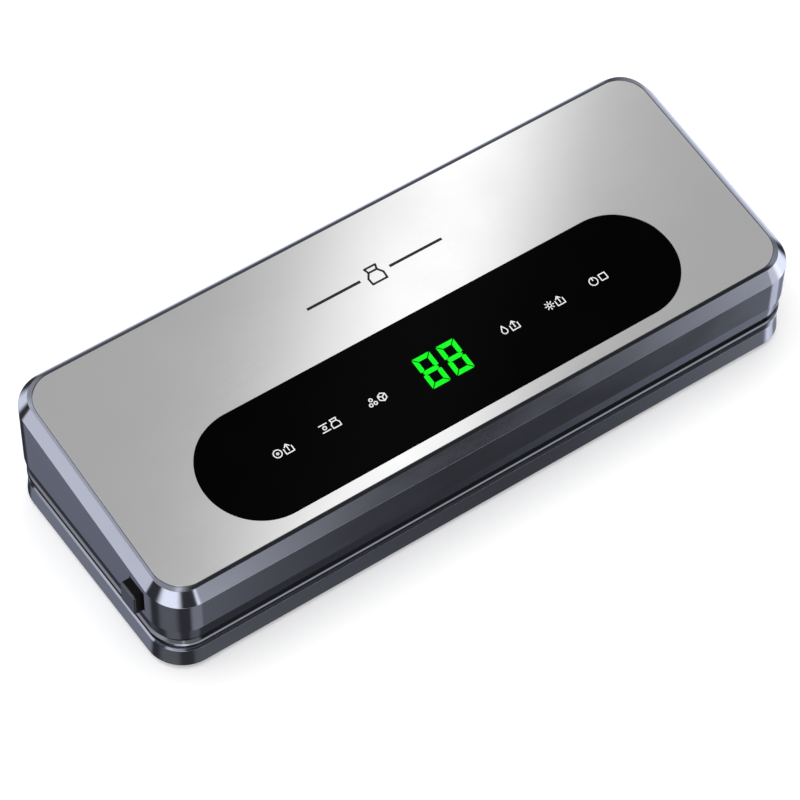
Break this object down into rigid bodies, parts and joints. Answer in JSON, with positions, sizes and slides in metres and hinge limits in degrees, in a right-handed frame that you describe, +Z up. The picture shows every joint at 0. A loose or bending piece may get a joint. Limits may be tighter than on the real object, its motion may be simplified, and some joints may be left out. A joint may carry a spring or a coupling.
{
  "type": "vacuum packing machine",
  "caption": "Countertop vacuum sealer: wedge-shaped hinged lid with glass touch panel and a side release button over a low base with vacuum trough and sealing bar.",
  "frame": {"origin": "bottom centre of the bounding box, on the plane its feet rest on", "axes": "+X to the machine's right along its length, -Y to the front where the bag goes in, +Z up"},
  "size_m": [0.3752, 0.1416, 0.075],
  "materials": {
    "gunmetal_shell": "gloss gunmetal metallic paint on moulded plastic",
    "dark_trim": "high gloss dark metallic",
    "black_plastic": "fine matt mould texture",
    "black_button": "satin black",
    "gasket_foam": "closed-cell foam",
    "silicone_strip": "matt silicone",
    "foot_rubber": "matt rubber",
    "screw_steel": "zinc-plated steel",
    "plate_steel": "fine brushed, nearly mirror",
    "panel_glass": "black-backed gloss glass",
    "display_green": "green lit segments on black",
    "board_green": "green solder mask",
    "grey_plastic": "matt grey moulding",
    "case_steel": "plain sheet steel",
    "rotor_copper": "enamelled copper windings",
    "plunger_brass": "turned brass",
    "hose_clear": "translucent silicone hose",
    "heater_nichrome": "bare nichrome ribbon",
    "tape_ptfe": "woven PTFE tape"
  },
  "bodies": {
    "base": {"base_shell": "gunmetal_shell", "base_trim": "dark_trim", "base_deck": "black_plastic", "lower_gasket": "gasket_foam", "pressure_strip": "silicone_strip", "foot_front_left": "foot_rubber", "foot_front_right": "foot_rubber", "foot_rear_left": "foot_rubber", "foot_rear_right": "foot_rubber", "case_screw_front_left": "screw_steel", "case_screw_front_right": "screw_steel", "case_screw_rear_left": "screw_steel", "case_screw_rear_right": "screw_steel", "hinge_pin_left": "screw_steel", "hinge_pin_right": "screw_steel", "latch_catch": "screw_steel"},
    "lid": {"lid_frame": "gunmetal_shell", "top_plate": "plate_steel", "control_glass": "panel_glass", "panel_carrier": "black_plastic", "touch_board": "board_green", "display_module": "display_green", "touch_pad_1": "gasket_foam", "touch_pad_2": "gasket_foam", "touch_pad_3": "gasket_foam", "touch_pad_4": "gasket_foam", "touch_pad_5": "gasket_foam", "touch_pad_6": "gasket_foam", "lid_liner": "black_plastic", "upper_gasket": "gasket_foam", "heater_carrier": "grey_plastic", "heating_strip": "heater_nichrome", "ptfe_tape": "tape_ptfe", "liner_screw_front_left": "screw_steel", "liner_screw_front_right": "screw_steel", "liner_screw_rear_left": "screw_steel", "liner_screw_rear_right": "screw_steel", "motor_can": "case_steel", "motor_end_cap": "black_plastic", "motor_cradle": "black_plastic", "pump_head": "grey_plastic", "pump_cover": "grey_plastic", "suction_nozzle": "grey_plastic", "suction_hose": "hose_clear", "release_valve": "case_steel", "lid_switch": "black_plastic", "power_board": "board_green", "transformer": "case_steel", "power_inlet": "black_plastic", "latch_spring": "screw_steel"},
    "latch": {"latch_button": "black_button"},
    "motor_rotor": {"motor_rotor": "rotor_copper"},
    "valve_plunger": {"valve_plunger": "plunger_brass"},
    "switch_plunger": {"switch_plunger": "grey_plastic"}
  },
  "joints": [
    {"name": "lid_hinge", "type": "hinge", "parent": "base", "child": "lid", "pos_m": [0, 0.0678, 0.0222], "axis": [-1, 0, 0], "range_deg": [0, 65]},
    {"name": "latch_press", "type": "slide", "parent": "lid", "child": "latch", "axis": [1, 0, 0], "range_m": [0, 0.003], "stiffness_N_per_m": 300, "springref_m": -0.003, "deforming": ["latch_spring"]},
    {"name": "motor_spin", "type": "hinge", "parent": "lid", "child": "motor_rotor", "pos_m": [-0.0734, 0.038, 0.0463], "axis": [1, 0, 0], "continuous": true},
    {"name": "valve_lift", "type": "slide", "parent": "lid", "child": "valve_plunger", "axis": [0, 0, 1], "range_m": [0, 0.0016], "stiffness_N_per_m": 200, "springref_m": -0.002},
    {"name": "switch_press", "type": "slide", "parent": "lid", "child": "switch_plunger", "axis": [0, 0, 1], "range_m": [0, 0.001], "stiffness_N_per_m": 200, "springref_m": -0.001}
  ]
}
